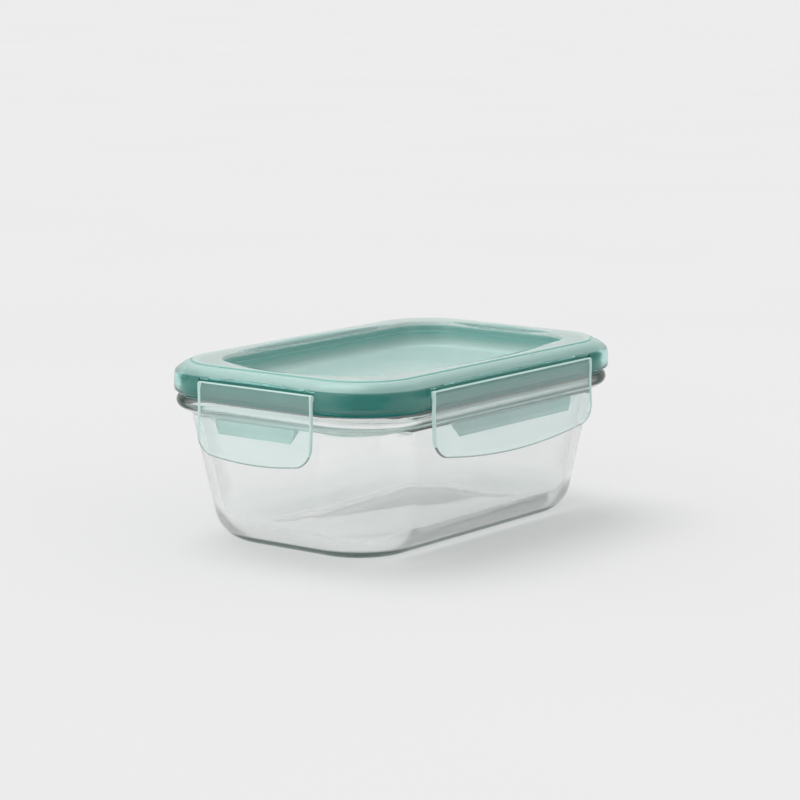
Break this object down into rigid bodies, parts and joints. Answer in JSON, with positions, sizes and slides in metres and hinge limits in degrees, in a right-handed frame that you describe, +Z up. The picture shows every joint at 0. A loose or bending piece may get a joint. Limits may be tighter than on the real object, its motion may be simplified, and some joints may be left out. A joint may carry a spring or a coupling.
{
  "type": "bento lunch box",
  "caption": "Rectangular glass food box with rounded corners, a clear latching lid with a stacking well, a teal silicone gasket and hinged side latches.",
  "frame": {"origin": "centre of the bounding box at the base, on the surface the box stands on", "axes": "+X along the long side, +Y along the short side to the back, +Z up"},
  "size_m": [0.195, 0.1304, 0.078],
  "materials": {
    "glass": "clear, polished, slightly green at thick edges",
    "lid_plastic": "translucent pale aqua, satin",
    "silicone": "smooth teal silicone",
    "latch_plastic": "clear with a pale aqua tint"
  },
  "bodies": {
    "tub": {"glass_tub": "glass"},
    "lid": {"lid_shell": "lid_plastic", "gasket": "silicone"},
    "front_latch": {"latch_front": "latch_plastic"},
    "back_latch": {"latch_back": "latch_plastic"},
    "left_latch": {"latch_left": "latch_plastic"},
    "right_latch": {"latch_right": "latch_plastic"}
  },
  "joints": [
    {"name": "lid_lift", "type": "slide", "parent": "tub", "child": "lid", "axis": [0, 0, 1], "range_m": [0, 0.0225]},
    {"name": "front_latch_hinge", "type": "hinge", "parent": "lid", "child": "front_latch", "pos_m": [0, -0.0627, 0.0711], "axis": [-1, 0, 0], "range_deg": [0, 158]},
    {"name": "back_latch_hinge", "type": "hinge", "parent": "lid", "child": "back_latch", "pos_m": [0, 0.0627, 0.0711], "axis": [1, 0, 0], "range_deg": [0, 158]},
    {"name": "left_latch_hinge", "type": "hinge", "parent": "lid", "child": "left_latch", "pos_m": [-0.095, 0, 0.0711], "axis": [0, 1, 0], "range_deg": [0, 158]},
    {"name": "right_latch_hinge", "type": "hinge", "parent": "lid", "child": "right_latch", "pos_m": [0.095, 0, 0.0711], "axis": [0, -1, 0], "range_deg": [0, 158]}
  ],
  "couplings": [
    {"joint": "front_latch_hinge", "follows": "lid_lift", "rad_per_m": 122.17},
    {"joint": "back_latch_hinge", "follows": "lid_lift", "rad_per_m": 122.17},
    {"joint": "left_latch_hinge", "follows": "lid_lift", "rad_per_m": 122.17},
    {"joint": "right_latch_hinge", "follows": "lid_lift", "rad_per_m": 122.17}
  ]
}
